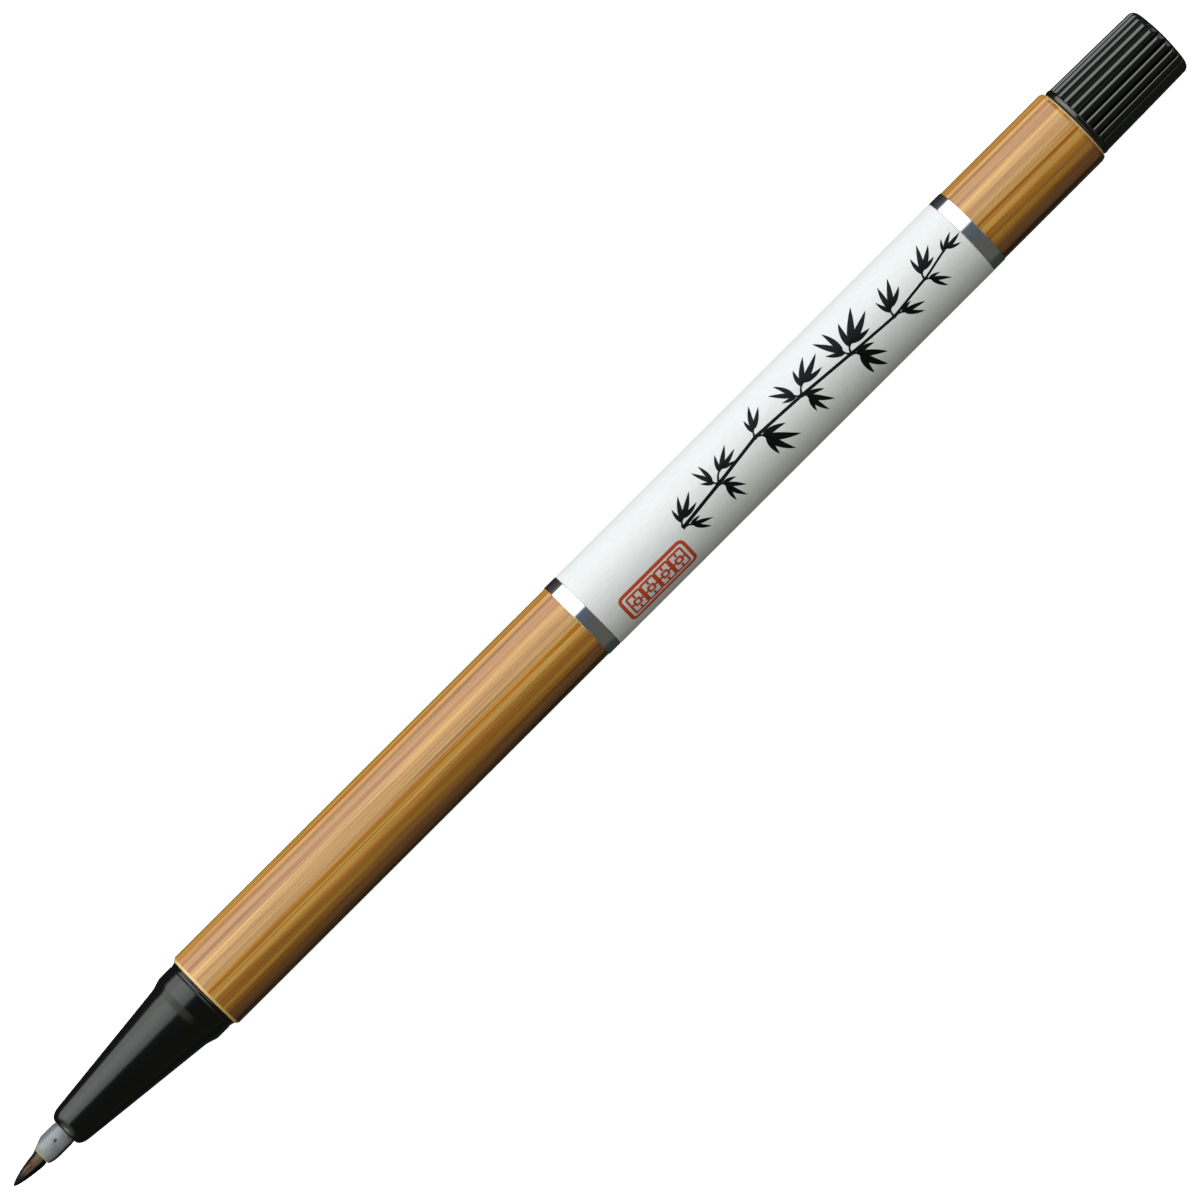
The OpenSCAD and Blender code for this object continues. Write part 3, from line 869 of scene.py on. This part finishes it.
def tail_plug():
    """The plug: beaded spigot, smooth neck, and round-backed ribs that run out over the rounded end."""
    neck_r, front_r, rear_r, edge, dome = 4.64, 4.6, 4.42, 0.85, 0.2
    neck_end = X_TAIL + 0.8
    chamfer = neck_end - 0.12
    hollow_end, hollow_r = X_TAIL + 8, 2.75

    def crest_at(station):
        """Radius over the ribs at a station."""
        return front_r + (rear_r - front_r) * (station - neck_end) / (X_END - neck_end)

    end_arc = arc((X_END - dome - edge, rear_r - edge), edge, 90, 8, 16)
    length = end_arc[0][0] - neck_end
    along = [neck_end + length * share for share in (0.0, 0.006, 0.012, 0.02, 0.05, 0.3, 0.65)]
    outline = rounded([(hollow_end, 0), (hollow_end, hollow_r, 0.3),
                       (X_PLUG, hollow_r, 0.06), (X_PLUG, SPIGOT_R - 0.3, 0.06),
                       (X_PLUG + 0.5, SPIGOT_R, 0.1), *bead(X_PLUG + 2.6), *bead(X_PLUG + 7),
                       (X_TAIL + 0.02, SPIGOT_R, 0.02), (X_TAIL + 0.02, neck_r - 0.16, 0.03),
                       (X_TAIL + 0.3, neck_r, 0.06), (chamfer, neck_r, 0.03),
                       (chamfer + 0.03, neck_r - 0.03)], closed=False)
    outline += [(chamfer + 0.06, neck_r), (chamfer + 0.09, neck_r)]
    outline += [(x, crest_at(x)) for x in along]
    outline += end_arc + [(X_END - 0.07, 2.6), (X_END - 0.02, 1.2), (X_END, 0)]

    def ribbed(station, radius, angle):
        if station < chamfer + 0.01 or radius < 3.0:
            return radius
        off = math.remainder(angle - math.radians(RIB_TURN), TURN / RIBS)
        crest = crest_at(station)
        aside = crest * abs(math.sin(off))
        back = RIB_R * math.sin(RIB_SLOPE)
        flank = max(0, aside - back) * math.tan(RIB_SLOPE)
        drop = RIB_R - math.sqrt(RIB_R ** 2 - min(aside, back) ** 2) + flank
        inner = crest - smooth_min(drop, RIB_H, 0.05)
        neck = neck_r - 0.14 * (station - chamfer) / 0.12 if station <= neck_end else 0
        return max(neck, smooth_min(radius, inner, 0.03) if station > neck_end else inner)

    offsets = (-7.82, -7.1, -6.4, -5.7, -5.0, -4.2, -3.4, -2.5, -1.3,
               0, 1.3, 2.5, 3.4, 4.2, 5.0, 5.7, 6.4, 7.1)
    angles = [math.radians(RIB_TURN + k * 360 / RIBS + off) for k in range(RIBS) for off in offsets]
    cross = []
    for quarter in range(4):
        turn = Matrix.Rotation(-quarter * math.pi / 2, 2)
        cross += [tuple(turn @ Vector(c)) for c in ((-0.45, 0.45), (-0.45, 2.78), (0.45, 2.78))]
    prongs = prism(cross, stations("ink_reservoir")[1] + 0.1, X_TAIL + 6)
    verts, faces = joined(turned(outline, angles, closed=False, shape=ribbed), prongs)
    piece("tail_plug_body", verts, faces, "tail", TAIL_BLACK, ["tail_plug"])


# ------------------------------------------------------------------ the CAD nodes that stay

def dress(node, material):
    """Gives a CAD node its material."""
    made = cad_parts[node]
    made.data.materials.clear()
    made.data.materials.append(material)


nib()
nib_holder()
grip()
barrel()
barrel_layers()
painted_branch()
seal()
tail_plug()
dress("relay_wick", fibre_bundle("wick_fibre", (0.03, 0.03, 0.032), (0.2, 0.19, 0.18)))
dress("ink_reservoir", fibre_bundle("reservoir_fibre", (0.02, 0.02, 0.024), (0.16, 0.155, 0.165)))
dress("reservoir_wrap", clear_film())


# ------------------------------------------------------------------ floor, light and camera

def floor():
    """A plain white floor that only the camera sees, so the light on the pen comes from the studio alone."""
    mesh = bpy.data.meshes.new("floor")
    size, level = 4.0, cad_box[0].z - 0.00001
    mesh.from_pydata([(-size, -size, level), (size, -size, level), (size, size, level), (-size, size, level)],
                     [], [(0, 1, 2, 3)])
    made = bpy.data.objects.new("floor", mesh)
    bpy.context.scene.collection.objects.link(made)
    s = Shader("floor_white", Base_Color=(0.9, 0.9, 0.9, 1), Roughness=0.9, Specular_IOR_Level=0.0,
               Emission_Color=(1, 1, 1, 1), Emission_Strength=0.86)
    mesh.materials.append(s.material)
    made.visible_diffuse = False
    made.visible_glossy = False
    made.visible_transmission = False
    made.visible_shadow = False


# The studio seen across the pen: degrees from overhead towards +Y, and the brightness there
STUDIO = [
    (-180, (0.03, 0.035, 0.03)), (-125, (0.035, 0.045, 0.04)), (-112, (0.045, 0.055, 0.045)),
    (-104, (0.095, 0.1, 0.08)), (-60, (0.105, 0.103, 0.085)), (-20, (0.1, 0.11, 0.115)),
    (0, (0.11, 0.13, 0.155)), (9, (0.12, 0.14, 0.165)), (16.5, (1.8, 1.93, 2.05)),
    (40, (2.75, 2.9, 3.1)), (62, (3.1, 3.25, 3.4)), (80, (2.4, 2.5, 2.6)),
    (97, (2.1, 2.15, 2.25)), (103, (0.2, 0.2, 0.21)), (110, (0.08, 0.08, 0.08)),
    (140, (0.03, 0.03, 0.03)), (180, (0.03, 0.035, 0.03)),
]
DIMMEST = (0.1, 0.11, 0.12)

# Soft glows past the pen's two ends: direction, where each starts and is full, and its colour
GLOWS = [
    ((-1, 0, 0.35), 0.72, 0.92, (0.94, 0.92, 0.85)),
    ((1, 0, 0.35), 0.72, 0.92, (0.85, 0.82, 0.74)),
    ((-1, 0, 0.25), 0.95, 0.99, (2.6, 2.9, 2.8)),
]


def studio():
    """A softbox on the pen's +Y side, soft glows past the pen's ends, and dim grey elsewhere."""
    world = bpy.data.worlds.new("studio")
    bpy.context.scene.world = world
    world.use_nodes = True
    world.node_tree.nodes.clear()
    s = Nodes(world.node_tree)
    way = s.node("TexCoord").outputs["Generated"]
    split = s.node("SeparateXYZ")
    s.feed(split.inputs[0], way)
    across = s.math("DEGREES", s.math("ARCTAN2", split.outputs["Y"], split.outputs["Z"]))
    top = 4.0
    stops = [((a + 180) / 360, tuple(c / top for c in colour)) for a, colour in STUDIO]
    strip = s.ramp(s.span(across, -180, 180), stops)
    dim = s.mix(1.0, strip, tuple(c / top for c in DIMMEST), "DARKEN")
    front = s.span(split.outputs["X"], -0.72, -0.42, smooth=True)
    rear = s.span(split.outputs["X"], 0.36, 0.16, smooth=True)
    light = s.mix(s.math("MULTIPLY", front, rear), dim, strip)
    for direction, start, full, colour in GLOWS:
        facing = s.node("VectorMath", operation="DOT_PRODUCT")
        s.feed(facing.inputs[0], way)
        facing.inputs[1].default_value = Vector(direction).normalized()
        share = s.span(facing.outputs["Value"], start, full, smooth=True)
        light = s.mix(1.0, light, s.mix(share, (0.0, 0.0, 0.0), tuple(c / top for c in colour)), "ADD")
    lit = s.node("Background")
    s.feed(lit.inputs["Color"], light)
    lit.inputs["Strength"].default_value = top
    white = s.node("Background")
    white.inputs["Color"].default_value = (1, 1, 1, 1)
    white.inputs["Strength"].default_value = 1.0
    either = s.node("MixShader")
    s.feed(either.inputs[0], s.node("LightPath").outputs["Is Camera Ray"])
    s.feed(either.inputs[1], lit.outputs[0])
    s.feed(either.inputs[2], white.outputs[0])
    out = s.node("OutputWorld")
    s.feed(out.inputs["Surface"], either.outputs[0])


def camera():
    """Looks down on the pen, with the nib at the lower left of the picture."""
    data = bpy.data.cameras.new("camera")
    data.lens = 344.7
    data.sensor_width = 36
    data.clip_start = 0.05
    data.clip_end = 20
    made = bpy.data.objects.new("camera", data)
    bpy.context.scene.collection.objects.link(made)
    made.location = (-0.032, 0.00003, AXIS_Z + 1.2535)
    target = Vector((0.00163, -0.00017, AXIS_Z))
    back = (made.location - target).normalized()
    tilt = math.radians(44.92)
    right = Vector((math.cos(tilt), -math.sin(tilt), 0))
    up = back.cross(right).normalized()
    right = up.cross(back)
    made.rotation_mode = "QUATERNION"
    made.rotation_quaternion = Matrix((right, up, back)).transposed().to_quaternion()
    bpy.context.scene.camera = made


floor()
studio()
camera()
bpy.context.scene.view_settings.view_transform = "Standard"
bpy.context.scene.view_settings.look = "None"
